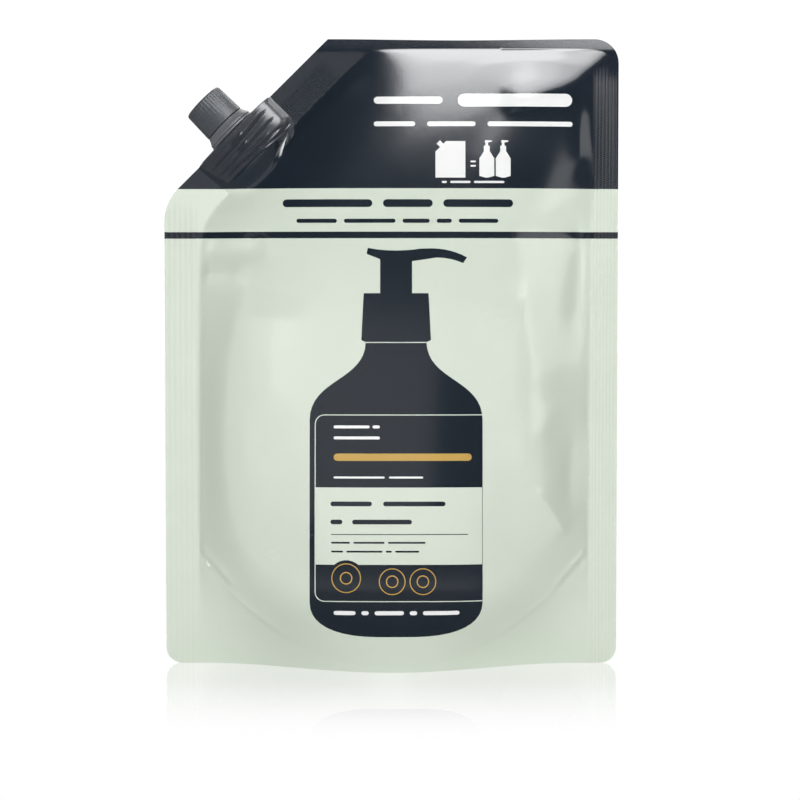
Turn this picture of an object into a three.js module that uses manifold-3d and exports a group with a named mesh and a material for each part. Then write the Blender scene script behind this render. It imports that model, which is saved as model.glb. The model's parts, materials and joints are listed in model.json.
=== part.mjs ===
// Stand-up refill pouch for liquid hand soap, with a corner spout and a screw cap.
//
// Frame: millimetres, +Z up, the front of the pouch faces -Y, and the origin is on the floor under the
// middle of the pouch. The spout stands on the sloping upper left edge and points up and to the left.
//
// Pieces: the sealed pouch (film and soap, one solid), the moulded spout that is welded into it, the
// tamper band on the spout's neck, the screw cap, and the sealing disc inside the cap.

import * as THREE from "three";
import { mergeVertices } from "three/addons/utils/BufferGeometryUtils.js";
import Module from "manifold-3d";

// ---------------------------------------------------------------- pouch, driving dimensions
const WIDTH = 190;
const HEIGHT = 262;
const CORNER_CUT = 68; // both legs of the 45 degree cut that takes the upper left corner off
const CUT_ROUNDING = 20; // radius where the cut meets the left edge
const TOP_CORNER = 10; // radius of the upper right corner
const BASE_CORNER = 6.5; // radius of both lower corners
const FIN = 0.5; // thickness of two welded films
const LEFT_SEAL = 14;
const RIGHT_SEAL = 12;
const TOP_SEAL = 4.2;
const CUT_SEAL = 15.8;

const FULLEST_HEIGHT = 34; // where the pouch is deepest
const HALF_DEPTH = 28.5; // there
const BASE_HALF_DEPTH = 26; // middle of the bottom edge
const BASE_REACH = 80; // the front and back bottom edges meet this far from the middle
const FLANK_POWER = 3.2; // the higher, the flatter the middle and the steeper the flanks
const RISE = 26; // height over which the bottom edge's curve passes into the full bulge, in the middle
const SIDE_RISE = 44; // and how much more it takes at the sides

const GUSSET_HEIGHT = 49; // where the bottom gusset meets the side seals
const GUSSET_SEAL = 6; // its weld to the front and back, in the middle
const GUSSET_REACH = 70; // the hollow under the gusset ends this far from the middle
const GUSSET_SAG = 1.5; // how far the gusset would hang below the floor if the floor let it
const SKIRT = 0.6; // front film and gusset film welded together

// ---------------------------------------------------------------- spout and cap, driving dimensions
const SPOUT_FROM_TOP = 55; // along the cut, from the pouch's upper corner to the spout's axis
const BORE_R = 5;
const MOUTH_CHAMFER = 0.6; // at the bore's mouth
const NECK_R = 6.2;
const NECK_TOP = 15.5; // all these heights are along the spout's axis, from the film's cut edge
const FLANGE_R = 11;
const FLANGE = [0.3, 1.3];
const BEAD_R = 7.8; // holds the tamper band down
const BEAD = [3.2, 4.0];
const WELD_DEPTH = 15.5; // how far the boat-shaped weld base reaches into the pouch
const WELD_LENGTH = 40.6;
const WELD_THICKNESS = 13.2;
const WELD_RIBS = 5;
const RIB_HEIGHT = 1.5;
const RIB_PROUD = 0.5;
const POCKET_GAP = 0.3; // between the weld base and the pouch
const SLEEVE = 0.5; // film over the weld base

const THREAD_LEAD = 5;
const THREAD_STARTS = 2;
const THREAD_CREST_R = 7.15;
const THREAD_FROM = 6.4;
const THREAD_TURNS = 1.1;
const THREAD_PHASE = 0.3; // of a facet

const BAND = [1.6, 4.85];
const CAP_FOOT = 5.15;
const CAP_TOP = 18.3;
const CAP_TOP_R = 9;
const CAP_FOOT_R = 9.4;
const CAP_BORE_R = 7.5;
const CAP_CEILING = 17.1;
const CAP_THREAD_CREST_R = 6.6;
const CAP_THREAD_TURNS = 0.8;
const CAP_EDGE = 1.1; // radius of the top edge
const KNURLS = 36;
const KNURL_DEPTH = 0.35;
const LINER_R = 7;
const LINER = [15.8, 16.8];
const LINER_BEAD = [14.8, 15.7]; // the ridge in the cap that the liner snaps over
const LINER_BEAD_R = 6.75;

const ROUND_STEPS = 42; // facets round the cap and the neck
const SUNK = 0.3; // how deep a ridge is rooted in the wall it stands on

// ---------------------------------------------------------------- solids
const wasm = await Module();
wasm.setup();

function solidOf(geometry) {
  const bare = new THREE.BufferGeometry();
  bare.setAttribute("position", geometry.getAttribute("position").clone());
  if (geometry.index) bare.setIndex(geometry.index.clone());
  const merged = mergeVertices(bare, 1e-4);
  return new wasm.Manifold(
    new wasm.Mesh({
      numProp: 3,
      vertProperties: merged.attributes.position.array,
      triVerts: new Uint32Array(merged.index.array),
    }),
  );
}

function geometryOf(solid) {
  const mesh = solid.getMesh();
  const geometry = new THREE.BufferGeometry();
  geometry.setAttribute("position", new THREE.BufferAttribute(mesh.vertProperties, 3));
  geometry.setIndex(new THREE.BufferAttribute(mesh.triVerts, 1));
  geometry.computeVertexNormals();
  return geometry;
}

// A closed skin through rings of points. In each ring, point k and the k-th from its end face each other
// across the piece, and the two end rings are closed by a strip between such pairs.
function loft(rings) {
  const size = rings[0].length;
  const positions = rings.flat().flatMap((p) => p.toArray());
  const triangles = [];
  for (let r = 0; r + 1 < rings.length; r++) {
    for (let k = 0; k < size; k++) {
      const next = (k + 1) % size;
      const [a, b] = [r * size + k, r * size + next];
      triangles.push(a, b, b + size, a, b + size, a + size);
    }
  }
  const last = (rings.length - 1) * size;
  for (let k = 0; k + 1 < size / 2; k++) {
    const [a, b, c, d] = [k, k + 1, size - 2 - k, size - 1 - k];
    triangles.push(a, c, b, a, d, c);
    triangles.push(last + a, last + b, last + c, last + a, last + c, last + d);
  }
  const geometry = new THREE.BufferGeometry();
  geometry.setAttribute("position", new THREE.Float32BufferAttribute(positions, 3));
  geometry.setIndex(triangles);
  if (signedVolume(geometry) < 0) geometry.setIndex(triangles.reverse());
  return geometry;
}

function signedVolume(geometry) {
  const points = geometry.getAttribute("position");
  const corner = (i) => new THREE.Vector3().fromBufferAttribute(points, geometry.index.getX(i));
  let sum = 0;
  for (let i = 0; i < geometry.index.count; i += 3) {
    sum += corner(i).dot(corner(i + 1).cross(corner(i + 2))) / 6;
  }
  return sum;
}

// A body of revolution about +Z from [radius, height] points that start and end on the axis or close.
function turned(profile) {
  const points = profile.map(([radius, height]) => new THREE.Vector2(radius, height));
  return solidOf(new THREE.LatheGeometry(points, ROUND_STEPS).rotateX(Math.PI / 2));
}

const column = (radius, low, high) => turned([[0, low], [radius, low], [radius, high], [0, high]]);

const clamp01 = (t) => Math.min(1, Math.max(0, t));
const smooth = (t) => clamp01(t) ** 2 * (3 - 2 * clamp01(t));
const range = (count) => Array.from({ length: count }, (_, i) => i);

// ---------------------------------------------------------------- pouch outline and depth
const HALF = WIDTH / 2;
const CUT_END = HEIGHT - CORNER_CUT; // height at which the cut would meet the left edge
const ROUNDING_RUN = CUT_ROUNDING * Math.tan(Math.PI / 8);
const INNER_TOP = HEIGHT - TOP_SEAL;
const INNER_RIGHT = HALF - RIGHT_SEAL;
const INNER_LEFT = -HALF + LEFT_SEAL;

const arcInset = (radius, fromEnd) =>
  fromEnd >= radius ? 0 : radius - Math.sqrt(radius ** 2 - (radius - fromEnd) ** 2);

function rightEdge(z) {
  return HALF - arcInset(BASE_CORNER, z) - arcInset(TOP_CORNER, HEIGHT - z);
}

function leftEdge(z) {
  const start = CUT_END - ROUNDING_RUN;
  const end = CUT_END + ROUNDING_RUN * Math.SQRT1_2;
  if (z > end) return -HALF + (z - CUT_END);
  if (z > start) return -HALF + CUT_ROUNDING - Math.sqrt(CUT_ROUNDING ** 2 - (z - start) ** 2);
  return -HALF + arcInset(BASE_CORNER, z);
}

// The left seal's inner line, which turns to follow the cut.
function leftSealLine(z) {
  const alongCut = -HALF + (z - CUT_END) + CUT_SEAL * Math.SQRT2;
  const softness = 8;
  return (INNER_LEFT + alongCut + Math.hypot(INNER_LEFT - alongCut, softness)) / 2;
}

// Half the pouch's depth in its middle at a height.
function middleHalfDepth(z) {
  if (z < FULLEST_HEIGHT) {
    const below = (FULLEST_HEIGHT - z) / FULLEST_HEIGHT;
    return HALF_DEPTH - (HALF_DEPTH - BASE_HALF_DEPTH) * below ** 2;
  }
  const above = clamp01((z - FULLEST_HEIGHT) / (INNER_TOP - FULLEST_HEIGHT));
  return HALF_DEPTH * (1 - above ** 1.2) ** 0.8;
}

const baseEdge = (x) => BASE_HALF_DEPTH * Math.cos((Math.PI / 2) * clamp01(Math.abs(x) / BASE_REACH)) ** 2;

function halfDepth(x, z) {
  const left = leftSealLine(z);
  const across = Math.abs((x - left) / (INNER_RIGHT - left) - 0.5) * 2;
  const bulge = middleHalfDepth(z) * (1 - clamp01(across) ** FLANK_POWER);
  const foot = Math.min(bulge, baseEdge(x));
  const riseHeight = RISE + SIDE_RISE * (Math.abs(x) / BASE_REACH) ** 2;
  return Math.max(FIN / 2, foot + (bulge - foot) * smooth(z / riseHeight));
}

// ---------------------------------------------------------------- pouch
function pouchBody() {
  const across = 16;
  // Closer together round the corners and where the cut bends into the left edge.
  const heights = [
    ...range(5).map((i) => BASE_CORNER * (1 - Math.cos((i / 8) * Math.PI))),
    ...range(13).map((i) => 12 + i * 13.6),
    ...range(4).map((i) => CUT_END - ROUNDING_RUN + 3.5 + i * 3.5),
    ...range(4).map((i) => CUT_END + 16 + i * 10),
    ...range(6).map((i) => HEIGHT - TOP_CORNER * Math.cos((i / 10) * Math.PI)),
    INNER_TOP,
  ].sort((a, b) => a - b);
  const rings = heights.map((z) => {
    const innerLeft = Math.min(leftSealLine(z), INNER_RIGHT - 1);
    const inner = range(across + 1).map((i) => {
      const share = (1 - Math.cos((Math.PI * i) / across)) / 2;
      return innerLeft + (INNER_RIGHT - innerLeft) * share;
    });
    const left = leftEdge(z);
    const right = rightEdge(z);
    const xs = [left, ...inner.map((x) => THREE.MathUtils.clamp(x, left + 0.2, right - 0.2)), right];
    const front = xs.map((x) => new THREE.Vector3(x, -halfDepth(x, z), z));
    const back = xs.map((x) => new THREE.Vector3(x, halfDepth(x, z), z)).reverse();
    return [...front, ...back];
  });
  return solidOf(loft(rings));
}

// The weld line between gusset and front film: low in the middle, high at the side seals.
const gussetSealLine = (x) => GUSSET_SEAL + (GUSSET_HEIGHT - GUSSET_SEAL) * (Math.abs(x) / -INNER_LEFT) ** 2.2;
// The gusset's own fold, over the middle of the floor.
const gussetFold = (x) => (GUSSET_HEIGHT - 4) * (Math.abs(x) / -INNER_LEFT) ** 3 - GUSSET_SAG;

// The open space under the gusset, between the front and back skirts.
function gussetHollow() {
  const below = -1;
  const wallSteps = 5;
  const roofSteps = 4;
  const stations = range(25).map((i) => GUSSET_REACH * Math.sin((Math.PI / 2) * (i / 12 - 1)));
  const rings = stations.map((x) => {
    const top = gussetSealLine(x);
    const fold = gussetFold(x);
    const reach = (z) => Math.max(0.1, halfDepth(x, Math.max(0, z)) - SKIRT);
    const wall = range(wallSteps + 1).map((k) => {
      const z = below + ((top - below) * k) / wallSteps;
      return new THREE.Vector3(x, -reach(z), z);
    });
    const roof = range(roofSteps).map((k) => {
      const share = 1 - (k + 1) / (roofSteps + 0.5);
      return new THREE.Vector3(x, -reach(top) * share, fold + (top - fold) * share ** 2.5);
    });
    const front = [...wall, ...roof];
    const back = front.map((p) => new THREE.Vector3(p.x, -p.y, p.z)).reverse();
    return [...front, ...back];
  });
  return solidOf(loft(rings));
}

// A boat-shaped section: two arcs over one chord, as a ring at one height on the spout's axis.
function boatRing(length, thickness, height) {
  const steps = 12;
  const sagitta = thickness / 2;
  const radius = ((length / 2) ** 2 + sagitta ** 2) / (2 * sagitta);
  const tip = 0.15; // half the thickness left at each pointed end
  const front = range(steps + 1).map((i) => {
    const along = -length / 2 + (length * i) / steps;
    const bulge = Math.sqrt(radius ** 2 - along ** 2) - (radius - sagitta);
    return new THREE.Vector3(along, -Math.max(tip, bulge), height);
  });
  const back = front.map((p) => new THREE.Vector3(p.x, -p.y, p.z)).reverse();
  return [...front, ...back];
}

const boat = (length, thickness, low, high) =>
  solidOf(loft([boatRing(length, thickness, low), boatRing(length, thickness, high)]));

// The film where it is drawn round the spout's weld base, easing into the pouch below it.
function filmSleeve() {
  const grow = 2 * (POCKET_GAP + SLEEVE);
  const length = WELD_LENGTH + 2 * grow;
  const thickness = WELD_THICKNESS + grow;
  const belowEdge = 0.2;
  return solidOf(
    loft([
      boatRing(length * 0.5, thickness * 0.05, -WELD_DEPTH - 14),
      boatRing(length, thickness, -WELD_DEPTH),
      boatRing(length, thickness, -belowEdge),
    ]),
  );
}

// The spout's frame: its origin on the film's cut edge, +Z out along the spout, +Y to the pouch's back.
const spoutFrame = new THREE.Matrix4()
  .makeRotationY(-Math.PI / 4)
  .setPosition(
    -HALF + CORNER_CUT - SPOUT_FROM_TOP * Math.SQRT1_2,
    0,
    HEIGHT - SPOUT_FROM_TOP * Math.SQRT1_2,
  );

function pouch() {
  const toPouch = (solid) => solid.transform(spoutFrame.toArray());
  const grow = 2 * POCKET_GAP;
  const pocket = boat(WELD_LENGTH + 2 * grow, WELD_THICKNESS + grow, -WELD_DEPTH - POCKET_GAP, 3);
  return pouchBody()
    .add(toPouch(filmSleeve()))
    .subtract(toPouch(pocket))
    .subtract(gussetHollow());
}

// ---------------------------------------------------------------- threads
// Helical ridges between a root and a crest radius, one for each start. Their sections lie between
// the facet edges of the wall they stand on.
function threads(rootR, crestR, from, turns) {
  const rootHalf = 0.62;
  const crestHalf = 0.3;
  const steps = Math.round(turns * ROUND_STEPS);
  return range(THREAD_STARTS).map((start) => {
    const rings = range(steps + 1).map((i) => {
      const angle = (2 * Math.PI * (i + THREAD_PHASE)) / ROUND_STEPS;
      const turn = angle + (2 * Math.PI * start) / THREAD_STARTS;
      const middle = from + (THREAD_LEAD * i) / ROUND_STEPS;
      const fade = 0.25 + 0.75 * clamp01(Math.min(i, steps - i) / 4); // run in and out
      const at = (radius, height) =>
        new THREE.Vector3(radius * Math.cos(turn), radius * Math.sin(turn), height);
      const crest = rootR + (crestR - rootR) * fade;
      return [
        at(rootR, middle - rootHalf),
        at(crest, middle - crestHalf),
        at(crest, middle + crestHalf),
        at(rootR, middle + rootHalf),
      ];
    });
    return solidOf(loft(rings));
  });
}

const joined = (first, rest) => rest.reduce((sum, solid) => sum.add(solid), first);

// ---------------------------------------------------------------- spout
function spout() {
  const coreLength = WELD_LENGTH - 4 * RIB_PROUD;
  const core = boat(coreLength, WELD_THICKNESS - 2 * RIB_PROUD, -WELD_DEPTH, 0.5);
  const pitch = (WELD_DEPTH - RIB_HEIGHT) / (WELD_RIBS - 1);
  const ribs = range(WELD_RIBS).map((i) =>
    boat(WELD_LENGTH, WELD_THICKNESS, -WELD_DEPTH + i * pitch, -WELD_DEPTH + i * pitch + RIB_HEIGHT),
  );
  const lipEase = 0.2;
  const neckFoot = -1; // inside the uppermost rib
  const neck = turned([
    [0, neckFoot],
    [NECK_R, neckFoot],
    [NECK_R, FLANGE[0]],
    [FLANGE_R - 0.2, FLANGE[0]],
    [FLANGE_R, FLANGE[0] + 0.2],
    [FLANGE_R, FLANGE[1] - 0.2],
    [FLANGE_R - 0.2, FLANGE[1]],
    [NECK_R, FLANGE[1]],
    [NECK_R, BEAD[0]],
    [BEAD_R, BEAD[0]],
    [BEAD_R, BEAD[0] + 0.3],
    [NECK_R + 0.4, BEAD[1]],
    [NECK_R, BEAD[1]],
    [NECK_R, NECK_TOP - lipEase],
    [NECK_R - lipEase, NECK_TOP],
    [0, NECK_TOP],
  ]);
  const ridges = threads(NECK_R - SUNK, THREAD_CREST_R, THREAD_FROM, THREAD_TURNS);
  const bore = turned([
    [0, -WELD_DEPTH - 1],
    [BORE_R, -WELD_DEPTH - 1],
    [BORE_R, NECK_TOP - MOUTH_CHAMFER],
    [BORE_R + 2 * MOUTH_CHAMFER, NECK_TOP + MOUTH_CHAMFER],
    [0, NECK_TOP + MOUTH_CHAMFER],
  ]);
  return joined(core, [...ribs, neck, ...ridges]).subtract(bore);
}

// ---------------------------------------------------------------- tamper band
function tamperBand() {
  const [low, high] = BAND;
  const lipR = 6.9;
  const innerR = 8.15;
  const lipTop = 2.8;
  return turned([
    [lipR, low],
    [10.5, low],
    [10.75, low + 0.25],
    [10.45, low + 1.3],
    [9.9, low + 2.3],
    [CAP_FOOT_R, high],
    [innerR, high],
    [innerR, lipTop + 0.3],
    [lipR, lipTop],
    [lipR, low],
  ]);
}

// ---------------------------------------------------------------- cap
function cap() {
  const perKnurl = 3;
  const outline = (radius, height, depth) =>
    range(KNURLS * perKnurl).map((i) => {
      const angle = (2 * Math.PI * i) / (KNURLS * perKnurl);
      const reach = i % perKnurl === 0 ? radius - depth : radius;
      return new THREE.Vector3(reach * Math.cos(angle), reach * Math.sin(angle), height);
    });
  const edgeSteps = 3;
  const edge = range(edgeSteps + 1).map((i) => {
    const angle = ((Math.PI / 2) * i) / edgeSteps;
    const radius = CAP_TOP_R - CAP_EDGE * (1 - Math.cos(angle));
    return outline(radius, CAP_TOP - CAP_EDGE * (1 - Math.sin(angle)), KNURL_DEPTH * (1 - i / edgeSteps));
  });
  const knurled = solidOf(loft([outline(CAP_FOOT_R, CAP_FOOT, KNURL_DEPTH), ...edge]));
  const hollow = turned([
    [0, CAP_FOOT - 1],
    [CAP_BORE_R + 0.5, CAP_FOOT - 1],
    [CAP_BORE_R + 0.5, CAP_FOOT],
    [CAP_BORE_R, CAP_FOOT + 0.6],
    [CAP_BORE_R, CAP_CEILING],
    [0, CAP_CEILING],
  ]);
  const [beadLow, beadHigh] = LINER_BEAD;
  const linerBead = turned([
    [CAP_BORE_R + SUNK, beadLow],
    [CAP_BORE_R + SUNK, beadHigh],
    [CAP_BORE_R, beadHigh],
    [LINER_BEAD_R, beadHigh - 0.3],
    [LINER_BEAD_R, beadHigh - 0.5],
    [CAP_BORE_R, beadLow],
    [CAP_BORE_R + SUNK, beadLow],
  ]);
  const halfPitch = THREAD_LEAD / THREAD_STARTS / 2;
  const ridges = threads(CAP_BORE_R + SUNK, CAP_THREAD_CREST_R, THREAD_FROM + halfPitch, CAP_THREAD_TURNS);
  return joined(knurled.subtract(hollow), [linerBead, ...ridges]);
}

// ---------------------------------------------------------------- assembly
function piece(name, solid, color, roughness, metalness = 0) {
  const material = new THREE.MeshStandardMaterial({ color, roughness, metalness });
  const mesh = new THREE.Mesh(geometryOf(solid), material);
  mesh.name = name;
  return mesh;
}

const SAGE = 0xd2dccb;
const CHARCOAL = 0x4b5056;
const FOAM = 0xe9e9e4;

const pack = new THREE.Group();
pack.add(piece("pouch", pouch(), SAGE, 0.42));

const closure = new THREE.Group();
closure.applyMatrix4(spoutFrame);
closure.add(
  piece("spout", spout(), CHARCOAL, 0.45),
  piece("tamper_band", tamperBand(), CHARCOAL, 0.45),
  piece("cap", cap(), CHARCOAL, 0.5),
  piece("cap_liner", column(LINER_R, ...LINER), FOAM, 0.8),
);
pack.add(closure);

export default pack;
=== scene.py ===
"""Looks of the stand-up soap refill pouch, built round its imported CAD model.

Shapes are worked out in millimetres and turned to metres when a mesh is made. Film points are given by x
(to the right), z (up) and a depth, which is how far the film stands out from the plane y = 0 in which the
front and back films meet. Things on the spout are given in the spout's own frame: its axis is w, and w = 0
is the film's sloping cut edge.
"""

import json
import math
from functools import reduce

import bmesh
import bpy
import numpy as np
from mathutils import Matrix, Vector
from mathutils.geometry import delaunay_2d_cdt
from mathutils.kdtree import KDTree


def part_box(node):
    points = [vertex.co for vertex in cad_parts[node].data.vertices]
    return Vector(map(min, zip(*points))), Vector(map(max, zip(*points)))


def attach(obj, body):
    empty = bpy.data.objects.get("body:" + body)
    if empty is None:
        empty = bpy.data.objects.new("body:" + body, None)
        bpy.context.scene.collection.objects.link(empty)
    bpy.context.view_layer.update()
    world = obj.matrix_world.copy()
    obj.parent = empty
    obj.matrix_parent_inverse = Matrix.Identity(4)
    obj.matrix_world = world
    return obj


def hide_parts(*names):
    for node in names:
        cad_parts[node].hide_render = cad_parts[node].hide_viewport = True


MM = 0.001
SMALL = 1e-6

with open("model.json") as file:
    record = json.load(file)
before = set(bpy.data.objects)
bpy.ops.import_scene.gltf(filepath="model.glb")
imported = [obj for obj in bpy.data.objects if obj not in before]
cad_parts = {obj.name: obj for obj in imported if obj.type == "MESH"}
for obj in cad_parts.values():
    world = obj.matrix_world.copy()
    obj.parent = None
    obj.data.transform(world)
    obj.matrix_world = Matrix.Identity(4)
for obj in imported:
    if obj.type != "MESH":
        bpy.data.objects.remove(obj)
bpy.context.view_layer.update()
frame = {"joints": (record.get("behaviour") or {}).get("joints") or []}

# ---- pouch dimensions, in millimetres
pouch_low, pouch_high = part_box("pouch")
LEFT = pouch_low.x / MM
RIGHT = pouch_high.x / MM
TOP = pouch_high.z / MM
CORNER_CUT = 68  # both legs of the cut that takes the upper left corner off
CUT_ROUNDING = 20
TOP_CORNER = 10
BASE_CORNER = 6.5
LEFT_SEAL = 14
RIGHT_SEAL = 12
TOP_SEAL = 4.2
CUT_SEAL = 15.8
TOP_SAG = 0.5
CUT_X = LEFT + CORNER_CUT  # where the top edge ends and the cut starts
FILM = 0.15  # half the thickness of the two welded films

INNER_LEFT = LEFT + LEFT_SEAL
INNER_RIGHT = RIGHT - RIGHT_SEAL
INNER_TOP = TOP - TOP_SEAL

FULLEST_HEIGHT = 34
HALF_DEPTH = 28.2
BASE_HALF_DEPTH = 26
BASE_REACH = 80  # half the length over which the bottom stands open
FLANK_POWER = 3.2  # the higher it is, the flatter the front and the steeper the flanks
RISE = 26  # the height in which the film comes from its bottom edge to the full bulge, in the middle
SIDE_RISE = 44  # and how much more it takes at the sides

CORNER_SLOPE_UP = 0.3  # of the film in the upper right corner, towards the top seal
CORNER_SLOPE_UP_LESS = 0.08  # and how much less that is on the right
CORNER_SLOPE_RIGHT = 0.195
SEAL_LEAN = 0.115  # of the top seal, to the back
SEAL_LEAN_MORE = 0.035  # and how much more that is on the right

GUSSET_HEIGHT = 49
GUSSET_SEAL = 6
GUSSET_SAG = 1.5

# ---- spout and cap dimensions, in millimetres
spout_joint = next(joint for joint in frame["joints"] if joint["name"] == "cap_turn")
SPOUT_AXIS = Vector(spout_joint["axis"]).normalized()
SPOUT_FOOT = Vector(spout_joint["pos_m"])
SPOUT_FROM_TOP = (TOP - SPOUT_FOOT.z / MM) * math.sqrt(2)  # along the cut
WELD_LENGTH = 40.6
WELD_DEPTH = 15.5
WELD_THICKNESS = 13.2
WELD_RIBS = 5


# ---- small maths
def smooth(t):
    t = np.clip(t, 0, 1)
    return t * t * (3 - 2 * t)


def ramp(value, start, end):
    return smooth((value - start) / (end - start))


def arc(centre, radius, start, end, steps):
    """Points on an arc, from one angle in degrees to another."""
    angles = np.radians(np.linspace(start, end, steps + 1))
    return [(centre[0] + radius * math.cos(a), centre[1] + radius * math.sin(a)) for a in angles]


def bezier(p0, p1, p2, p3, steps):
    t = np.linspace(0, 1, steps + 1)[:, None]
    weights = ((1 - t) ** 3, 3 * t * (1 - t) ** 2, 3 * t**2 * (1 - t), t**3)
    points = sum(w * np.array(p, float) for w, p in zip(weights, (p0, p1, p2, p3)))
    return [tuple(p) for p in points]


def densified(points, step, closed=True):
    """The same outline with no stretch between points longer than step."""
    out = []
    ends = points[1:] + points[:1] if closed else points[1:]
    for start, end in zip(points, ends):
        pieces = max(1, math.ceil(math.dist(start, end) / step))
        for k in range(pieces):
            t = k / pieces
            out.append((start[0] + (end[0] - start[0]) * t, start[1] + (end[1] - start[1]) * t))
    return out if closed else out + [points[-1]]


def inside(points, outline):
    """Which points lie in a closed outline."""
    x, y = points[:, 0], points[:, 1]
    found = np.zeros(len(points), bool)
    for (x0, y0), (x1, y1) in zip(outline, outline[1:] + outline[:1]):
        if y0 != y1:
            crosses = (y0 > y) != (y1 > y)
            found ^= crosses & (x < (x1 - x0) * (y - y0) / (y1 - y0) + x0)
    return found


def curve(points, steps=5):
    """A smooth path through a few points."""
    p = [np.array(q, float) for q in points]
    p = [2 * p[0] - p[1], *p, 2 * p[-1] - p[-2]]
    path = []
    for a, b, c, d in zip(p, p[1:], p[2:], p[3:]):
        for t in np.arange(steps) / steps:
            powers = (c - a) * t + (2 * a - 5 * b + 4 * c - d) * t**2 + (3 * b - a - 3 * c + d) * t**3
            path.append((2 * b + powers) / 2)
    return [*path, p[-2]]


def path_frame(x, z, path):
    """How far along a path each point lies, from 0 to 1, and its distance, positive to the path's left."""
    total = sum(math.dist(p, q) for p, q in zip(path, path[1:]))
    nearest = np.full(x.shape, np.inf)
    along = np.zeros(x.shape)
    off = np.zeros(x.shape)
    done = 0
    for p, q in zip(path, path[1:]):
        length = math.dist(p, q)
        dx, dz = (q[0] - p[0]) / length, (q[1] - p[1]) / length
        t = np.clip((x - p[0]) * dx + (z - p[1]) * dz, 0, length)
        gap = np.hypot(x - p[0] - dx * t, z - p[1] - dz * t)
        closer = gap < nearest
        nearest = np.where(closer, gap, nearest)
        along = np.where(closer, (done + t) / total, along)
        left = (z - p[1]) * dx - (x - p[0]) * dz > 0
        off = np.where(closer, np.where(left, gap, -gap), off)
        done += length
    return along, off


# ---- the shape of the film
def cut_frame(x, z):
    """Along the cut from the pouch's upper corner, and inward from the cut edge."""
    along = ((CUT_X - x) + (TOP - z)) / math.sqrt(2)
    inward = ((x - CUT_X) + (TOP - z)) / math.sqrt(2)
    return along, inward


def off_cut(along, inward):
    """x and z of a place given in the cut's own frame."""
    return CUT_X + (inward - along) / math.sqrt(2), TOP - (inward + along) / math.sqrt(2)


def left_seal_line(z):
    along_cut = LEFT + (z - (TOP - CORNER_CUT)) + CUT_SEAL * math.sqrt(2)
    softness = 8
    return (INNER_LEFT + along_cut + np.hypot(INNER_LEFT - along_cut, softness)) / 2


def right_seal_line(z):
    narrower = 2.2
    return INNER_RIGHT + narrower * ramp(z, 182, 214)


def middle_half_depth(z):
    below = np.clip((FULLEST_HEIGHT - z) / FULLEST_HEIGHT, 0, 1)
    above = np.clip((z - FULLEST_HEIGHT) / (INNER_TOP - FULLEST_HEIGHT), 0, 1)
    low = HALF_DEPTH - (HALF_DEPTH - BASE_HALF_DEPTH) * below**2
    return np.where(z < FULLEST_HEIGHT, low, HALF_DEPTH * (1 - above**1.2) ** 0.8)


def base_edge(x):
    return BASE_HALF_DEPTH * np.cos(np.pi / 2 * np.clip(np.abs(x) / BASE_REACH, 0, 1)) ** 2


def bulge(x, z):
    """Depth of the filled pouch, without its creases."""
    left, right = left_seal_line(z), right_seal_line(z)
    across = np.clip(np.abs((x - left) / np.maximum(right - left, 1) - 0.5) * 2, 0, 1)
    full = middle_half_depth(z) * (1 - across**FLANK_POWER)
    foot = np.minimum(full, base_edge(x))
    rise_height = RISE + SIDE_RISE * (np.abs(x) / BASE_REACH) ** 2
    return foot + (full - foot) * smooth(z / rise_height)


def gusset_seal_line(x):
    return GUSSET_SEAL + (GUSSET_HEIGHT - GUSSET_SEAL) * (np.abs(x) / -INNER_LEFT) ** 2.2


class Fold:
    """A ridge in the film along a path, or a valley where its height is negative.

    left and right are its widths on the two sides of the path, as one walks along it. A crest of 1 is
    sharp and one of 2 is soft, and ends is the share of the path over which it fades in and out.
    """

    def __init__(self, points, height, left, right, crest=2.0, ends=(0.25, 0.25)):
        self.path = curve(points)
        self.height, self.left, self.right, self.crest, self.ends = height, left, right, crest, ends
        reach = 5 * max(left, right)
        xs, zs = zip(*self.path)
        self.box = (min(xs) - reach, max(xs) + reach, min(zs) - reach, max(zs) + reach)

    def add_to(self, depth, x, z):
        x0, x1, z0, z1 = self.box
        near = (x > x0) & (x < x1) & (z > z0) & (z < z1)
        along, off = path_frame(x[near], z[near], self.path)
        fade = smooth(along / self.ends[0]) * smooth((1 - along) / self.ends[1])
        width = np.where(off > 0, self.left, self.right)
        # Rounded over a quarter of a millimetre, so that even a sharp crest has a slope everywhere.
        distance = np.hypot(off, 0.25) / width
        depth[near] += self.height * fade * np.exp(-(distance**self.crest))


# where the gusset's weld ends, on the right and on the left
GUSSET_WELD_LINE = [(80, 46), (69, 33), (60, 25), (46, 15.5), (34, 9)]
GUSSET_WELD = [
    Fold([(side * x, z) for x, z in GUSSET_WELD_LINE], 0.35, 1.4, 1.4, 1.5, (0.1, 0.4)) for side in (1, -1)
]

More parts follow.
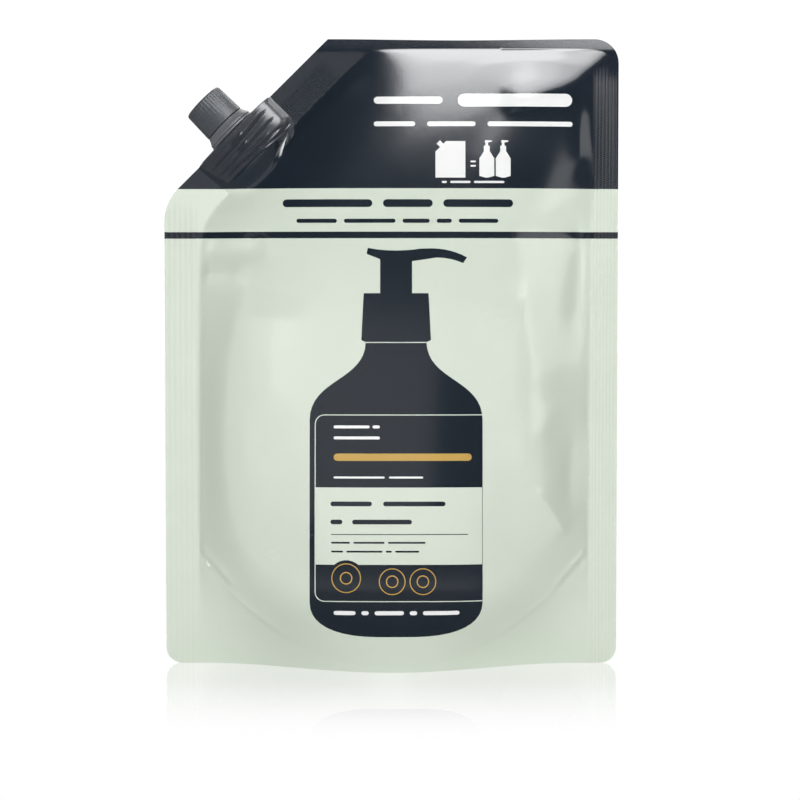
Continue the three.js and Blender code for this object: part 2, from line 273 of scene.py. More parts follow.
FRONT_FOLDS = [
    # shoulders, where the steep flanks pass into the front
    Fold(
        [(-54, 186), (-59, 160), (-65, 138), (-68, 115), (-69, 90), (-66, 66), (-58, 45), (-46, 29)],
        3.8, 17, 9, 1.7, (0.3, 0.35),
    ),
    Fold(
        [(56, 174), (57, 150), (61, 124), (62, 100), (62, 84), (66, 70), (73, 57)],
        3.2, 9, 16, 1.6, (0.45, 0.3),
    ),
    # pockets in the left flank, below the shoulder of the cut
    Fold([(-82, 163), (-70, 164), (-58, 160)], 1.6, 7, 3.0, 1.5, (0.1, 0.35)),
    Fold([(-80, 176), (-66, 173), (-50, 176)], -1.4, 5, 5),
    Fold([(-62, 199), (-56, 191), (-50, 180), (-49, 170)], 0.6, 4, 9, 1.3, (0.3, 0.5)),
    Fold([(-46, 158), (-50, 130), (-52, 104)], 1.1, 9, 9),
    # facets in the right flank
    Fold([(57, 170), (55, 146), (46, 128)], 0.9, 7, 14, 1.3, (0.5, 0.5)),
    # the steep film beside the right seal, in the upper field
    Fold([(84, 248), (83, 226), (82, 200)], 1.0, 2.5, 6, 1.8, (0.25, 0.35)),
    Fold([(80, 192), (78.5, 166), (76.5, 142), (78, 120)], -1.9, 5, 5, 1.8, (0.35, 0.4)),
    Fold([(78, 104), (75, 82), (76, 60)], -2.0, 5, 5, 1.7, (0.4, 0.4)),
    Fold([(58, 78), (68, 64), (74, 54)], 1.5, 4, 6, 1.3, (0.3, 0.2)),
    Fold([(48, 84), (60, 98), (66, 114)], 1.0, 8, 7, 2.0, (0.4, 0.5)),
    Fold([(84, 182), (60, 180), (44, 184)], -0.7, 7, 7, 2.0, (0.2, 0.5)),
    # the upper left, beside the cut
    Fold([(-12, 250), (-34, 232), (-54, 208)], 0.8, 6, 6),
    # the ends of the gusset
    Fold([(-83, 51), (-73, 42), (-63, 31)], 0.7, 1.6, 2.4, 1.5, (0.15, 0.5)),
    Fold([(-81, 46), (-73, 38.5), (-65, 29)], -0.8, 1.6, 2.4, 1.8, (0.15, 0.5)),
    Fold([(84, 50), (75, 41), (66, 31)], 0.9, 2.2, 1.5, 1.3, (0.15, 0.5)),
    Fold([(83, 45), (74, 37), (67, 29)], -0.9, 2.4, 1.6, 1.8, (0.15, 0.5)),
    *GUSSET_WELD,
]

BACK_FOLDS = [
    Fold([(62, 160), (67, 130), (68, 95), (62, 60), (48, 30)], 2.0, 9, 15, 1.7, (0.1, 0.3)),
    Fold([(-60, 156), (-64, 130), (-66, 95), (-62, 62), (-50, 34)], 2.0, 15, 9, 1.7, (0.1, 0.3)),
    Fold([(81, 168), (68, 171), (52, 166)], 1.3, 4, 6, 1.5, (0.1, 0.35)),
    Fold([(-81, 150), (-70, 152), (-58, 148)], 1.0, 6, 4, 1.6, (0.1, 0.4)),
    Fold([(-78, 112), (-75, 98), (-77, 84)], -1.3, 5, 5),
    Fold([(78, 100), (75, 86), (77, 72)], -1.3, 5, 5),
    Fold([(14, 238), (-12, 214), (-34, 196)], 1.0, 8, 8),
    Fold([(-20, 150), (-32, 120), (-30, 92)], 0.8, 12, 12),
    Fold([(40, 140), (34, 112), (40, 84)], 0.8, 12, 12),
    Fold([(-83, 51), (-73, 42), (-63, 31)], 1.0, 1.5, 2.2, 1.3, (0.15, 0.5)),
    Fold([(84, 50), (75, 41), (66, 31)], 0.9, 2.2, 1.5, 1.3, (0.15, 0.5)),
    *GUSSET_WELD,
]

# Creases over the spout's weld base, in the cut's own frame: how far along it from the pouch's upper corner,
# and how far inward. The film is drawn in between the ribs, and gathers between them in the middle.
WELD_FOLDS = [
    Fold([(37.0, 3.3), (46, 3.7), (57, 4.6), (73.6, 4.8)], -1.0, 0.36, 0.36, 1.5, (0.14, 0.08)),
    Fold([(37.4, 7.8), (48, 8.0), (60, 8.8), (72.6, 8.6)], -1.05, 0.36, 0.36, 1.5, (0.12, 0.08)),
    Fold([(43, 9.9), (52, 10.1), (63, 9.9), (72, 10.4)], -0.4, 0.4, 0.5, 2.0, (0.3, 0.2)),
    Fold([(38, 12.7), (48, 12.3), (55, 11.9), (63, 11.3), (71, 11.3)], -1.0, 0.36, 0.4, 1.5, (0.12, 0.12)),
    Fold([(40, 5.6), (52, 6.0), (64, 6.7), (71, 6.6)], -0.45, 0.28, 0.3, 1.6, (0.25, 0.2)),
    Fold([(39, 1.5), (55, 1.8), (73, 2.6)], -0.4, 0.28, 0.3, 1.6, (0.25, 0.15)),
    Fold([(38, 4.1), (46, 4.5), (57, 5.5), (66, 5.6)], 0.25, 0.25, 0.25, 1.5, (0.2, 0.3)),
    Fold([(38, 8.6), (48, 8.8), (60, 9.6), (68, 9.4)], 0.25, 0.25, 0.25, 1.5, (0.2, 0.3)),
    Fold([(52, 3.0), (56, 3.6), (60, 3.5)], 1.0, 0.4, 0.4, 1.6, (0.3, 0.3)),
    Fold([(53, 6.8), (56.5, 7.4), (60, 8.0)], 1.0, 0.4, 0.4, 1.6, (0.3, 0.3)),
    Fold([(50, 13.1), (56, 12.5), (60, 12.1)], 1.2, 0.42, 0.42, 1.6, (0.3, 0.3)),
    Fold([(43, 11.2), (48, 11.0), (56, 10.8)], 0.35, 0.4, 0.4, 2.0, (0.3, 0.3)),
    Fold([(38, 13.7), (46, 13.5), (53, 12.9), (62, 12.7)], 0.3, 0.3, 0.3, 1.6, (0.2, 0.3)),
    Fold([(37.5, 14.9), (46, 14.5), (53, 13.7), (62, 13.9), (71.5, 13.5)], -0.6, 0.32, 0.45, 1.5, (0.1, 0.12)),
    Fold([(76.5, 0.8), (80.5, 1.3), (85, 1.5)], -0.35, 0.4, 0.4, 1.5, (0.3, 0.2)),
]


def weld_base(along, inward):
    """How far the film stands out over the spout's weld base, which it shows blunt at its upper end."""
    upper = SPOUT_FROM_TOP - 21.2 + 10 * ramp(inward, 11, 21)
    lower = SPOUT_FROM_TOP + 20.8 - 0.08 * inward
    middle, half = (upper + lower) / 2, (lower - upper) / 2
    share = np.clip(np.abs(along - middle) / half, 0, 1)
    lens = 1 - share**2
    bluntness = 8 - 4.8 * ramp(inward, 9, 16)
    pillow = (1 - share**bluntness) ** 1.2 * (0.75 + 0.25 * lens)
    over_base = WELD_THICKNESS / 2 + 0.35
    return over_base * (lens + (pillow - lens) * ramp(along, middle + 4, middle - 8))


def soft_max(a, b, softness):
    return (a + b + np.hypot(a - b, softness)) / 2


def corner_hip(x, z):
    """The upper right corner, where the film falls to the top and right seals like a hipped roof."""
    to_top = (CORNER_SLOPE_UP - CORNER_SLOPE_UP_LESS * ramp(x, 58, 78)) * (INNER_TOP - z)
    eaves = RIGHT - 3
    to_right = CORNER_SLOPE_RIGHT * (eaves - x)
    hip = -soft_max(-to_top, -to_right, 0.8)
    return np.maximum(hip, 0) * ramp(z, 196, 246) * ramp(x, 12, 58)


def film_depth(x, z, folds):
    along, inward = cut_frame(x, z)
    depth = bulge(x, z)
    creased = depth.copy()
    for one in folds:
        one.add_to(creased, x, z)
    depth = depth + (creased - depth) * ramp(depth, 0.0, 2.5)
    hip = corner_hip(x, z)
    depth = soft_max(depth, hip, 0.6 * ramp(hip, 0, 1.5))
    patch = weld_base(along, inward) * (1 - ramp(inward, 14.4, 27))
    outer = np.hypot(np.maximum(depth, 0), patch)
    for one in WELD_FOLDS:
        one.add_to(outer, along, inward)
    return FILM + np.maximum(outer, 0)


def seal_lean(x, z):
    """How far back the film stands from the plane y = 0: its top seal leans back a little."""
    above = z - (INNER_TOP - 0.6)
    rounding = 0.8
    rise = (above + np.hypot(above, rounding)) / 2
    return (SEAL_LEAN + SEAL_LEAN_MORE * ramp(x, 10, 90)) * rise * ramp(z, INNER_TOP - 9, INNER_TOP - 2)


# ---- print on the front, as plain shapes
BOTTLE_X = 2.1
BOTTLE_BASE = 14.9
BOTTLE_HALF = 35.6  # half its width


def rounded_bar(x0, x1, z0, z1, radius=None):
    radius = min((z1 - z0) / 2, (x1 - x0) / 2) if radius is None else radius
    corners = [(x1 - radius, z1 - radius, 0), (x0 + radius, z1 - radius, 90)]
    corners += [(x0 + radius, z0 + radius, 180), (x1 - radius, z0 + radius, 270)]
    return [p for cx, cz, a in corners for p in arc((cx, cz), radius, a, a + 90, 4)]


def bottle_outline():
    """A plain pump bottle, as one closed outline."""
    body = bezier((8, BOTTLE_BASE), (26, BOTTLE_BASE), (BOTTLE_HALF, 19.5), (BOTTLE_HALF, 29), 10)
    shoulder = bezier((BOTTLE_HALF, 104), (BOTTLE_HALF, 121), (13, 120), (12.5, 136.1), 16)
    collar = [(14.35, 136.9), (13.6, 152.4), (13.35, 156.2)]
    right = body + shoulder + collar
    left = [(-x, z) for x, z in reversed(right)]
    stem = [(6.6, 156.2), (6.6, 169.4)]
    nozzle = bezier((16.9, 170.9), (21, 170.9), (25, 169.8), (27.7, 168.6), 4)
    nozzle += bezier((29.3, 171.0), (25, 173.4), (20, 174.6), (15, 174.7), 6)
    nozzle += bezier((10, 174.6), (6, 173.8), (-4, 173.2), (-11.7, 174.9), 6)
    head = stem + nozzle + [(-12.2, 172.4), (-6.6, 170.2), (-6.6, 156.2)]
    return moved(right + head + left, BOTTLE_X, 0)


def strip(points, width):
    """A line of some width, as a closed outline."""
    half = width / 2
    sides = ([], [])
    for k, (x, z) in enumerate(points):
        x0, z0 = points[max(k - 1, 0)]
        x1, z1 = points[min(k + 1, len(points) - 1)]
        length = math.hypot(x1 - x0, z1 - z0)
        nx, nz = -(z1 - z0) / length, (x1 - x0) / length
        sides[0].append((x + nx * half, z + nz * half))
        sides[1].append((x - nx * half, z - nz * half))
    return sides[0] + sides[1][::-1]


def words(x0, x1, z, height, lengths=(1,), gap=0):
    """A row of bars in place of a line of words, whose lengths are given as shares of the row."""
    unit = (x1 - x0 - gap * (len(lengths) - 1)) / sum(lengths)
    bars = []
    for length in lengths:
        bars.append(rounded_bar(x0, x0 + unit * length, z - height / 2, z + height / 2))
        x0 += unit * length + gap
    return bars


def print_shapes():
    """(ink, closed outline) in the order they are laid down, so a later one covers an earlier one."""
    shapes = []

    def lay(ink, *outlines):
        shapes.extend((ink, outline) for outline in outlines)

    def row(ink, *settings):
        lay(ink, *words(*settings))

    lay("weld", weld_field())
    # the dark field at the top: two lines and a row of small signs
    row("white", -7.2, 21.4, 236.3, 3.0)
    row("white", 27.7, 75.4, 236.3, 5.4)
    row("white", -7.2, 75.6, 226.4, 2.0, [4.1, 4.8, 8.5], 5.0)
    lay("white", pouch_sign(18.4, 204.0), *bottle_signs(36.5, 204.0))
    row("white", 32.9, 35.2, 210.7, 0.7)
    row("white", 32.9, 35.2, 208.9, 0.7)
    row("white", 21.0, 47.0, 202.2, 0.9, [1, 4, 6], 1.4)
    # the pale band
    row("dark", -45.0, 50.6, 193.4, 3.2, [37.3, 20.6, 29.0], 4.4)
    row("dark", -39.2, 44.4, 186.1, 1.7, [16.9, 21.5, 11.3, 6.3, 16.5], 2.9)
    # the bottle and its label
    lay("dark", bottle_outline())
    lay("pale", rounded_bar(BOTTLE_X - 12.5, BOTTLE_X + 12.5, 135.75, 136.15, 0.05))
    left, right = BOTTLE_X - 33.3, BOTTLE_X + BOTTLE_HALF - 0.2
    low, high, corner = 29.8, 106.2, 3.8
    frame_line = [(right, high), *arc((left + corner, high - corner), corner, 90, 180, 6)]
    frame_line += [*arc((left + corner, low + corner), corner, 180, 270, 6), (right, low)]
    lay("pale", strip(frame_line, 0.4), [(left, 44.9), (right, 44.9), (right, 76.5), (left, 76.5)])
    row("white", -23.6, -4.6, 101.3, 1.2, [5, 1], 1.2)
    row("white", -23.6, -4.6, 96.8, 1.2)
    row("gold", -23.6, 33.2, 88.9, 3.0)
    row("white", -23.6, 13.2, 80.6, 0.8, [6, 4], 1.8)
    row("dark", -24.9, 22.4, 69.8, 1.9, [4, 6], 4.6)
    row("dark", -24.9, 8.6, 62.4, 1.9, [1, 5], 4.0)
    lay("dark", [(-24.6, 57.1), (31.6, 57.1), (31.6, 57.45), (-24.6, 57.45)])
    row("dark", -24.6, 14.2, 53.9, 0.75, [3, 5, 6], 1.4)
    row("dark", -24.6, 11.6, 50.3, 0.75, [2, 6, 1, 4], 1.4)
    # three plain rings
    rings = {(-18.4, 39.4): 6.1, (0.5, 38.0): 5.5, (13.1, 38.0): 5.5}
    lay("dark", arc((-18.4, 39.4), 7.4, 0, 330, 24))
    for centre, radius in rings.items():
        lay("gold", arc(centre, radius, 0, 345, 30))
        lay("dark", arc(centre, radius - 0.4, 0, 345, 30))
    for centre in rings:
        lay("gold", arc(centre, 2.6, 0, 330, 18))
        lay("dark", arc(centre, 2.15, 0, 330, 18))
    row("white", -23.6, 28.2, 25.0, 1.7, [3, 1, 4, 1, 5], 2.4)
    return shapes


def weld_field():
    """The film over the spout's weld base, which the heat has left duller than the rest."""
    edge = [(34.0, 0.25), (33.4, 6), (33.4, 12), (34.6, 15.6), (37.5, 18), (41.5, 17.2), (45.5, 15.2)]
    edge += [(52, 14.1), (62, 14), (71.6, 13.5), (75.2, 0.25)]
    return [off_cut(*place) for place in edge]


def moved(points, x, z):
    return [(x + px, z + pz) for px, pz in points]


def pouch_sign(x, z):
    """A small pouch with a cut corner and a spout, 12.4 mm wide."""
    points = [(0, 0), (12.4, 0), (12.4, 15.2), (4.4, 15.2), (3.3, 14.1), (1.9, 15.5), (0.5, 14.1), (1.9, 12.7)]
    return moved(points + [(0, 10.8)], x, z)


def bottle_signs(x, z):
    half = [(0.6, 0), (3.1, 0.7), (3.1, 8.0), (1.2, 11.0), (1.2, 13.2), (0.6, 13.3), (0.5, 14.6)]
    head = [(2.2, 15.0), (2.0, 15.5), (-0.6, 15.6), (-0.9, 14.9)]
    outline = half + head + [(-px, pz) for px, pz in reversed(half)]
    return [moved(outline, x + shift, z) for shift in (3.2, 10.0)]


# Horizontal edges between the printed fields, from the top: dark, pale, dark stripe, pale.
FIELD_EDGES = (199.6, 181.6, 178.9)
INK_COLOURS = {"pale": (213, 222, 208), "dark": (19, 30, 41), "white": (244, 245, 244), "gold": (196, 158, 72)}
WELD_GREY = (44, 49, 56)  # the dark ink's look where the weld has dulled it
INKS = [*INK_COLOURS, "weld"]


# ---- film mesh
def pouch_outline(step):
    """The pouch's edge, counterclockwise from the lower left."""
    cut_run = CUT_ROUNDING * math.tan(math.pi / 8)
    cut_centre = (LEFT + CUT_ROUNDING, TOP - CORNER_CUT - cut_run)
    points = arc((LEFT + BASE_CORNER, BASE_CORNER), BASE_CORNER, 180, 270, 8)
    points += arc((RIGHT - BASE_CORNER, BASE_CORNER), BASE_CORNER, 270, 360, 8)
    points += arc((RIGHT - TOP_CORNER, TOP - TOP_CORNER), TOP_CORNER, 0, 90, 10)
    points += arc((CUT_X + 0.8, TOP - 0.5), 0.5, 90, 135, 3)
    points += arc(cut_centre, CUT_ROUNDING, 135, 180, 10)
    points = densified(points, step)
    span = RIGHT - TOP_CORNER - CUT_X - 2

    def sag(x, z):
        """The top edge hangs a little between the corners."""
        across = np.clip((x - CUT_X - 1) / span, 0, 1)
        return TOP_SAG * math.sin(math.pi * across) ** 2 if z > TOP - 0.01 else 0

    return [(x, z - sag(x, z)) for x, z in points]


def thinned(points, near, distance):
    """Points that lie more than a distance from all the others given."""
    tree = KDTree(len(near))
    for k, p in enumerate(near):
        tree.insert((*p, 0), k)
    tree.balance()
    return [p for p in points if tree.find((*p, 0))[2] > distance]


def triangular_grid(step):
    """Points (x, z) over the whole pouch."""
    rows = int(TOP / (step * 0.866)) + 1
    columns = int((RIGHT - LEFT) / step) + 1
    xs = LEFT + step * (np.arange(columns)[None, :] + 0.5 * (np.arange(rows)[:, None] % 2))
    zs = np.repeat(step * 0.866 * np.arange(rows)[:, None], columns, 1)
    return np.stack([xs.ravel(), zs.ravel()], 1)


# Spacing of the film's points: in plain film, in the fine creases, and over the spout's weld base.
FRONT_STEPS = (1.1, 0.54, 0.32)
BACK_STEPS = (1.8, 0.66, 0.42)


def panel(outline, shapes, steps):
    """Triangulates one film: points (x, z), triangles, their centres, and where the outline's points are."""
    points, edges = [], []

    def lay(path, closed=True):
        first, count = len(points), len(path)
        points.extend(path)
        edges.extend((first + k, first + (k + 1) % count) for k in range(count if closed else count - 1))

    lay(outline)
    for _, shape in shapes:
        lay(densified(shape, 1.2))
    for ends in [[(x, z) for x in span_at(outline, z)] for z in FIELD_EDGES] + seal_edges():
        lay(densified(ends, 1.2, closed=False), closed=False)
    for k, spacing in enumerate(steps):
        grid = triangular_grid(spacing)
        grid = grid[film_areas(grid)[k]]
        points += thinned([tuple(p) for p in grid[inside(grid, outline)]], points, spacing * 0.5)
    made = delaunay_2d_cdt([Vector(p) for p in points], edges, [], 0, SMALL)
    flat = np.array([tuple(v) for v in made[0]])
    triangles = np.array([tuple(f) for f in made[2]])
    centres = flat[triangles].mean(1)
    keep = inside(centres, outline)
    place = {source: k for k, sources in enumerate(made[3]) for source in sources}
    return flat, triangles[keep], centres[keep], [place[k] for k in range(len(outline))]


def seal_edges():
    """Where the flat side seals end and the filled film starts, so that triangles' edges lie along them."""
    heights = np.arange(8, INNER_TOP - 1, 1.2)
    return [[(float(line(z)), float(z)) for z in heights] for line in (left_seal_line, right_seal_line)]


def film_areas(points):
    """Which points lie in plain film, in the fine creases (upper corner, gusset's ends), and over the spout."""
    x, z = points.T
    along, inward = cut_frame(x, z)
    on_spout = (np.abs(along - SPOUT_FROM_TOP) < WELD_LENGTH / 2 + 2) & (inward < WELD_DEPTH + 2)
    creased = (x > 46) & (x < 92) & (z > 226) & (z < 260)
    creased |= (np.abs(x) > 62) & (np.abs(x) < 85) & (z > 27) & (z < 54)
    return ~(on_spout | creased), creased, on_spout


def span_at(outline, z):
    """Where the outline crosses a height, from left to right."""
    crossings = []
    for (x0, z0), (x1, z1) in zip(outline, outline[1:] + outline[:1]):
        if (z0 > z) != (z1 > z):
            crossings.append(x0 + (x1 - x0) * (z - z0) / (z1 - z0))
    return sorted(crossings)


def inks_of(centres, shapes):
    """The ink of each triangle: a field by its height, then whichever shape covers it last."""
    upper, band, stripe = FIELD_EDGES
    z = centres[:, 1]
    inks = np.where((z > upper) | ((z < band) & (z > stripe)), INKS.index("dark"), INKS.index("pale"))
    for ink, outline in shapes:
        inks[inside(centres, outline)] = INKS.index(ink)
    return inks


def film_normals(flat, folds, side):
    """Outward normals of a film from its own slope."""
    x, z = flat[:, 0], flat[:, 1]
    reach = 0.15

    def out(x, z):
        return film_depth(x, z, folds) + side * seal_lean(x, z)

    slope_x = (out(x + reach, z) - out(x - reach, z)) / (2 * reach)
    slope_z = (out(x, z + reach) - out(x, z - reach)) / (2 * reach)
    normals = np.stack([-slope_x, np.full(len(x), side), -slope_z], 1)
    return normals / np.linalg.norm(normals, axis=1, keepdims=True)


def in_scene(name, data):
    made = bpy.data.objects.new(name, data)
    bpy.context.scene.collection.objects.link(made)
    return made


def make_mesh(name, points, faces, materials, face_materials=None, normals=None):
    """An object from points in millimetres."""
    mesh = bpy.data.meshes.new(name)
    mesh.from_pydata((np.asarray(points, float) * MM).tolist(), [], [list(map(int, face)) for face in faces])
    for material in materials:
        mesh.materials.append(material)
    if face_materials is not None:
        mesh.polygons.foreach_set("material_index", np.asarray(face_materials, np.int32))
    mesh.polygons.foreach_set("use_smooth", np.ones(len(mesh.polygons), bool))
    mesh.update()
    if normals is not None:
        mesh.normals_split_custom_set_from_vertices([tuple(n) for n in normals])
    return in_scene(name, mesh)


def turned_outward(points, triangles, outward):
    """The triangles, each wound so that it faces the way given for it."""
    a, b, c = points[triangles].transpose(1, 0, 2)
    wrong = (np.cross(b - a, c - a) * outward).sum(1) < 0
    return np.where(wrong[:, None], triangles[:, ::-1], triangles)


def film_rim(outline, points, rims):
    """The films' cut edge, but for the bottom, where they stand apart: points, normals, triangles, inks."""
    faces, inks = [], []
    for k in range(len(outline)):
        after = (k + 1) % len(outline)
        middle = (outline[k][1] + outline[after][1]) / 2
        if middle < 0.01:
            continue
        faces += [(rims[0][k], rims[0][after], rims[1][after]), (rims[0][k], rims[1][after], rims[1][k])]
        inks += [INKS.index("dark" if middle > FIELD_EDGES[0] else "pale")] * 2
    copies, numbered = np.unique(faces, return_inverse=True)
    copied = points[copies]
    outward = copied * (1, 0, 1) - (0, 0, TOP / 2)
    outward /= np.linalg.norm(outward, axis=1, keepdims=True)
    faces = numbered.reshape(-1, 3)
    return copied, outward, turned_outward(copied, faces, outward[faces[:, 0]]) + len(points), np.array(inks)


def film_pouch(materials):
    outline = pouch_outline(1.0)
    sides = ((-1, FRONT_FOLDS, print_shapes(), FRONT_STEPS), (1, BACK_FOLDS, [], BACK_STEPS))
    points, normals, faces, inks, rims = [], [], [], [], []
    for side, folds, shapes, steps in sides:
        flat, triangles, centres, rim = panel(outline, shapes, steps)
        x, z = flat.T
        first = sum(map(len, points))
        points.append(np.stack([x, side * film_depth(x, z, folds) + seal_lean(x, z), z], 1))
        normals.append(film_normals(flat, folds, side))
        faces.append(turned_outward(points[-1], triangles, (0, side, 0)) + first)
        inks.append(inks_of(centres, shapes))
        rims.append([k + first for k in rim])
    for kind, rim in zip((points, normals, faces, inks), film_rim(outline, np.concatenate(points), rims)):
        kind.append(rim)
    points, normals, faces, inks = map(np.concatenate, (points, normals, faces, inks))
    return make_mesh("pouch_film", points, faces, materials, inks, normals)


def gusset_panel(material):
    """The bottom film: welded inside the front and back up to a curved line, and folded up between them."""
    skirt, least = 2.2 * FILM, 0.02
    reach, wall, roof = 78, 8, 10
    share = 1 - np.arange(1, roof + 1) / (roof + 0.5)
    rings = []
    for x in reach * np.sin(np.linspace(-np.pi / 2, np.pi / 2, 61)):
        top = float(gusset_seal_line(x))
        crest = (GUSSET_HEIGHT - 4) * (abs(x) / -INNER_LEFT) ** 3 - GUSSET_SAG
        heights = np.linspace(least, top, wall + 1)
        arch = np.maximum(crest + (top - crest) * share**2.5, 0.15)
        halves = []
        for side, folds in ((-1, FRONT_FOLDS), (1, BACK_FOLDS)):
            depth = np.maximum(film_depth(np.full(wall + 1, x), heights, folds) - skirt, least)
            halves.append([(x, side * d, z) for d, z in zip(depth, heights)])
            halves[-1] += [(x, side * depth[-1] * part, z) for part, z in zip(share, arch)]
        rings.append(halves[0] + halves[1][::-1])
    return make_mesh("pouch_gusset", *loft(rings, closed=False), [material])


# ---- turned pieces on the spout
def spout_frame():
    """Spout frame to row frame, in metres: w along the axis, v along the cut, and y to the back."""
    w = SPOUT_AXIS
    y = Vector((0, 1, 0))
    v = y.cross(w)
    matrix = Matrix((v, y, w)).transposed().to_4x4()
    matrix.translation = SPOUT_FOOT
    return matrix


def loft(rings, closed_ends=False, closed=True):
    """Quads through rings of equal size, or through open lines, with caps at both ends if asked for."""
    size = len(rings[0])
    faces = [
        (r * size + k, r * size + (k + 1) % size, (r + 1) * size + (k + 1) % size, (r + 1) * size + k)
        for r in range(len(rings) - 1)
        for k in range(size if closed else size - 1)
    ]
    points = [tuple(p) for ring in rings for p in ring]
    if closed_ends:
        faces += [tuple(range(size))[::-1], tuple(range(len(points) - size, len(points)))]
    return points, faces


def turned(profile, steps, shape=None):
    """A ring-shaped body from a closed profile of (radius, w). shape(angle, k) moves profile point k out."""
    rings = []
    for a in np.linspace(0, 2 * np.pi, steps, endpoint=False):
        radii = [r + (shape(a, k) if shape else 0) for k, (r, _) in enumerate(profile)]
        rings.append([(r * math.cos(a), r * math.sin(a), w) for r, (_, w) in zip(radii, profile)])
    points, faces = loft([*rings, rings[0]])
    count = len(profile) * steps
    return points[:count], [tuple(i % count for i in face) for face in faces]


def rounded(profile, radius, steps=3):
    """The closed profile with its corners rounded."""
    corners = np.array(profile, float)
    out = []
    for p, before, after in zip(corners, np.roll(corners, 1, 0), np.roll(corners, -1, 0)):
        cut = min(radius, 0.45 * math.dist(p, before), 0.45 * math.dist(p, after))
        start, end = (p + (q - p) / math.dist(p, q) * cut for q in (before, after))
        for t in np.linspace(0, 1, steps + 1):
            out.append(tuple((1 - t) ** 2 * start + 2 * t * (1 - t) * p + t**2 * end))
    return out


def spout_piece(name, parts, material):
    """A piece given in the spout's frame: its faces turned outward, and shaded smooth but for sharp edges."""
    points, faces = [], []
    for part_points, part_faces in parts:
        faces += [tuple(i + len(points) for i in face) for face in part_faces]
        points += list(part_points)
    piece = make_mesh(name, points, faces, [material])
    piece.data.transform(spout_frame())
    mesh = bmesh.new()
    mesh.from_mesh(piece.data)
    bmesh.ops.remove_doubles(mesh, verts=mesh.verts, dist=1e-7)
    bmesh.ops.recalc_face_normals(mesh, faces=mesh.faces)
    mesh.to_mesh(piece.data)
    mesh.free()
    piece.data.set_sharp_from_angle(angle=math.radians(40))
    return piece


THREAD_LEAD = 5
THREAD_STARTS = 2
CAP_RIBS = 36


def threads(root, crest, start_w, turns):
    """Helical ridges, one for each start, that fade in and out."""
    parts = []
    around = 96
    steps = round(turns * around)
    for start in range(THREAD_STARTS):
        rings = []
        for i in range(steps + 1):
            turn = 2 * np.pi * (i / around + start / THREAD_STARTS)
            middle = start_w + THREAD_LEAD * i / around
            fade = 0.1 + 0.9 * smooth(min(i, steps - i) / 10)
            top = root + (crest - root) * fade
            section = [(root, -0.62), (top - 0.15, -0.36), (top, -0.2)]
            section += [(r, -w) for r, w in reversed(section)]
            rings.append([(r * math.cos(turn), r * math.sin(turn), middle + w) for r, w in section])
        parts.append(loft(rings, closed_ends=True))
    return parts


def cap_piece(material):
    foot, top = 5.15, 18.3
    foot_r, top_r = 9.4, 9.0
    bore, ceiling, edge, dish = 7.5, 17.1, 1.1, 0.12
    low, high = foot + 0.25, top - edge
    wall = [(foot_r + (top_r - foot_r) * t, low + (high - low) * t) for t in np.linspace(0, 1, 14)]
    corner = np.linspace(0.2, np.pi / 2, 6)
    crown = [(top_r - edge * (1 - math.cos(a)), top - edge * (1 - math.sin(a))) for a in corner]
    face = [(r, top - dish * (1 - ramp(r, 6.2, 7.4))) for r in (7.4, 6.9, 6.4, 4, 2)] + [(0, top - dish)]
    inner = [(0, ceiling), (bore, ceiling), (bore, 15.7), (6.75, 15.4), (6.75, 15.2), (bore, 14.8)]
    inner += [(bore, foot + 0.6), (bore + 0.5, foot), (foot_r - 0.25, foot)]
    profile = wall + crown + face + inner
    outside = len(wall) + len(crown) - 1

    def ribs(angle, k):
        if k >= outside:
            return 0
        w = profile[k][1]
        wave = abs(math.cos(angle * CAP_RIBS / 2)) ** 0.6
        depth = 0.03 + 0.13 * ramp(w, foot + 2, top - 2.5)
        end = 1 - ramp(w, top - edge, top - 0.15)
        start = ramp(w, foot + 0.2, foot + 0.8)
        return -depth * (1 - wave) * end * start

    parts = [turned(profile, CAP_RIBS * 8, ribs)]
    half_pitch = THREAD_LEAD / THREAD_STARTS / 2
    parts += threads(bore + 0.2, 6.6, 6.4 + half_pitch, 0.8)
    return spout_piece("screw_cap", parts, material)


def liner_piece(material):
    low, high, radius = 15.8, 16.8, 7.0
    rim = rounded([(radius - 0.01, low), (radius, low), (radius, high), (radius - 0.01, high)], 0.2)
    return spout_piece("cap_liner_disc", [turned([(0, low), *rim, (0, high)], 128)], material)


def band_piece(material):
    low, high = 1.34, 4.85
    profile = [(6.9, low), (10.45, low), (10.8, low + 0.35), (10.7, low + 0.9), (10.2, low + 1.7)]
    profile += [(9.75, low + 2.5), (9.45, high - 0.2), (9.35, high), (8.15, high), (8.15, 3.1), (6.9, 2.8)]
    parts = [turned(rounded(profile, 0.25), 192)]
    parts += [nib(angle, 9.0, high - 0.1, high + 0.2) for angle in np.arange(22.5, 360, 45)]
    return spout_piece("tamper_ring", parts, material)


def nib(angle, radius, low, high):
    """One broken bridge between band and cap, thinner at its top. The angle is in degrees."""
    centre = (radius * math.cos(math.radians(angle)), radius * math.sin(math.radians(angle)))
    sizes = ((low, 0.35), ((low + high) / 2, 0.26), (high, 0.16))
    rings = [[(x, y, w) for x, y in arc(centre, half, angle, angle + 315, 7)] for w, half in sizes]
    return loft(rings, closed_ends=True)


def boat_ring(length, thickness, w, steps=24):
    sagitta = thickness / 2
    radius = ((length / 2) ** 2 + sagitta**2) / (2 * sagitta)
    front = []
    for along in np.linspace(-length / 2, length / 2, steps + 1):
        half = math.sqrt(radius**2 - along**2) - (radius - sagitta)
        front.append((along, -max(0.12, half), w))
    return front + [(x, -y, z) for x, y, z in reversed(front)]


